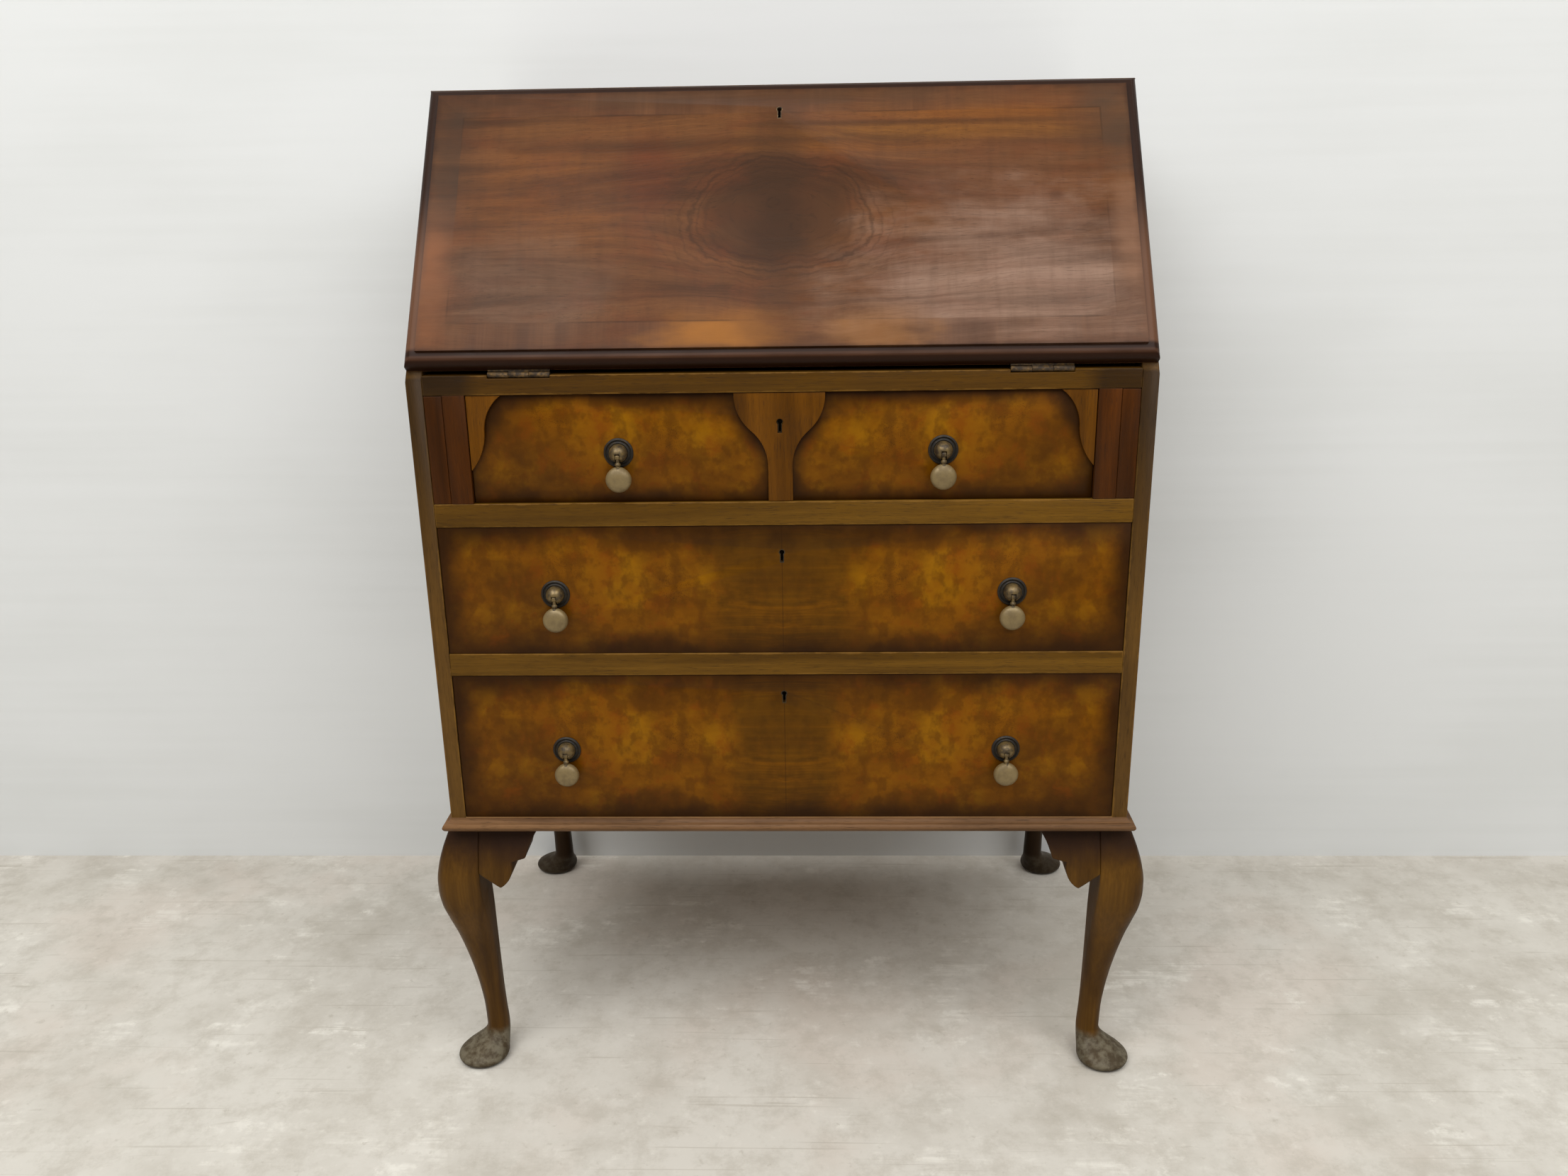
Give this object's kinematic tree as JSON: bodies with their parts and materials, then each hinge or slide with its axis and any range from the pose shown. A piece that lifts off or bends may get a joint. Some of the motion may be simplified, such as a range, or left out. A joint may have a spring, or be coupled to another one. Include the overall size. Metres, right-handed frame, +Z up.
{
  "type": "fall-front writing bureau",
  "caption": "Writing bureau with a sloping fall front on lopers, long drawers with pear drops, pigeonholes inside, and cabriole legs on pad feet.",
  "frame": {"origin": "on the floor, under the middle of the whole bureau", "axes": "+X to the right seen from the front, +Y to the back, +Z up"},
  "size_m": [0.7728, 0.4982, 1.0615],
  "materials": {
    "burr_walnut": "french polished burr veneer",
    "figured_walnut": "french polished figured veneer",
    "walnut": "worn satin polish",
    "olive_walnut": "faded satin polish",
    "oak": "plain, unpolished",
    "plywood": "stained, unpolished",
    "dark_brass": "dark patina",
    "pale_brass": "tarnished, rubbed bright",
    "hinge_brass": "aged satin"
  },
  "bodies": {
    "carcase": {"back_panel": "plywood", "base_moulding_front": "walnut", "base_moulding_sides": "walnut", "bottom_board": "oak", "drawer_runners": "oak", "hinge_board_leaves": "hinge_brass", "hinge_pins": "hinge_brass", "knee_brackets_front": "walnut", "knee_brackets_side": "walnut", "leg_front_left": "walnut", "leg_front_right": "walnut", "leg_rear_left": "walnut", "leg_rear_right": "walnut", "loper_partitions": "walnut", "pigeonhole_dividers": "oak", "pigeonhole_shelf": "oak", "rail_lower": "olive_walnut", "rail_upper": "olive_walnut", "side_left": "walnut", "side_right": "walnut", "small_drawer_partitions": "oak", "top_board": "walnut", "writing_board": "olive_walnut"},
    "fall": {"fall_panel": "figured_walnut", "hinge_fall_leaves": "hinge_brass", "fall_lock": "hinge_brass"},
    "loper_left": {"loper_left": "walnut"},
    "loper_right": {"loper_right": "walnut"},
    "upper_drawer": {"upper_drawer_applique": "burr_walnut", "upper_drawer_back": "oak", "upper_drawer_bottom": "plywood", "upper_drawer_front": "burr_walnut", "upper_drawer_lock": "hinge_brass", "upper_drawer_plates": "dark_brass", "upper_drawer_sides": "oak"},
    "upper_drop_left": {"upper_drop_left": "pale_brass"},
    "upper_drop_right": {"upper_drop_right": "pale_brass"},
    "middle_drawer": {"middle_drawer_back": "oak", "middle_drawer_bottom": "plywood", "middle_drawer_front": "burr_walnut", "middle_drawer_lock": "hinge_brass", "middle_drawer_plates": "dark_brass", "middle_drawer_sides": "oak"},
    "middle_drop_left": {"middle_drop_left": "pale_brass"},
    "middle_drop_right": {"middle_drop_right": "pale_brass"},
    "lower_drawer": {"lower_drawer_back": "oak", "lower_drawer_bottom": "plywood", "lower_drawer_front": "burr_walnut", "lower_drawer_lock": "hinge_brass", "lower_drawer_plates": "dark_brass", "lower_drawer_sides": "oak"},
    "lower_drop_left": {"lower_drop_left": "pale_brass"},
    "lower_drop_right": {"lower_drop_right": "pale_brass"},
    "small_drawer_left": {"small_drawer_left_box": "oak", "small_drawer_left_front": "burr_walnut", "small_drawer_left_knob": "dark_brass"},
    "small_drawer_right": {"small_drawer_right_box": "oak", "small_drawer_right_front": "burr_walnut", "small_drawer_right_knob": "dark_brass"}
  },
  "joints": [
    {"name": "fall_hinge", "type": "hinge", "parent": "carcase", "child": "fall", "pos_m": [0, -0.23037, 0.7945], "axis": [1, 0, 0], "range_deg": [0, 124.5]},
    {"name": "loper_left_slide", "type": "slide", "parent": "carcase", "child": "loper_left", "axis": [0, -1, 0], "range_m": [0, 0.24]},
    {"name": "small_drawer_left_slide", "type": "slide", "parent": "carcase", "child": "small_drawer_left", "axis": [0, -1, 0], "range_m": [0, 0.13]},
    {"name": "loper_right_slide", "type": "slide", "parent": "carcase", "child": "loper_right", "axis": [0, -1, 0], "range_m": [0, 0.24]},
    {"name": "small_drawer_right_slide", "type": "slide", "parent": "carcase", "child": "small_drawer_right", "axis": [0, -1, 0], "range_m": [0, 0.13]},
    {"name": "upper_drawer_slide", "type": "slide", "parent": "carcase", "child": "upper_drawer", "axis": [0, -1, 0], "range_m": [0, 0.3]},
    {"name": "upper_drop_left_hinge", "type": "hinge", "parent": "upper_drawer", "child": "upper_drop_left", "pos_m": [-0.158, -0.23963, 0.71505], "axis": [-1, 0, 0], "range_deg": [0, 85]},
    {"name": "upper_drop_right_hinge", "type": "hinge", "parent": "upper_drawer", "child": "upper_drop_right", "pos_m": [0.158, -0.23963, 0.71505], "axis": [-1, 0, 0], "range_deg": [0, 85]},
    {"name": "middle_drawer_slide", "type": "slide", "parent": "carcase", "child": "middle_drawer", "axis": [0, -1, 0], "range_m": [0, 0.3]},
    {"name": "middle_drop_left_hinge", "type": "hinge", "parent": "middle_drawer", "child": "middle_drop_left", "pos_m": [-0.2295, -0.24263, 0.57135], "axis": [-1, 0, 0], "range_deg": [0, 85]},
    {"name": "middle_drop_right_hinge", "type": "hinge", "parent": "middle_drawer", "child": "middle_drop_right", "pos_m": [0.2295, -0.24263, 0.57135], "axis": [-1, 0, 0], "range_deg": [0, 85]},
    {"name": "lower_drawer_slide", "type": "slide", "parent": "carcase", "child": "lower_drawer", "axis": [0, -1, 0], "range_m": [0, 0.3]},
    {"name": "lower_drop_left_hinge", "type": "hinge", "parent": "lower_drawer", "child": "lower_drop_left", "pos_m": [-0.2295, -0.24263, 0.3993], "axis": [-1, 0, 0], "range_deg": [0, 85]},
    {"name": "lower_drop_right_hinge", "type": "hinge", "parent": "lower_drawer", "child": "lower_drop_right", "pos_m": [0.2295, -0.24263, 0.3993], "axis": [-1, 0, 0], "range_deg": [0, 85]}
  ]
}
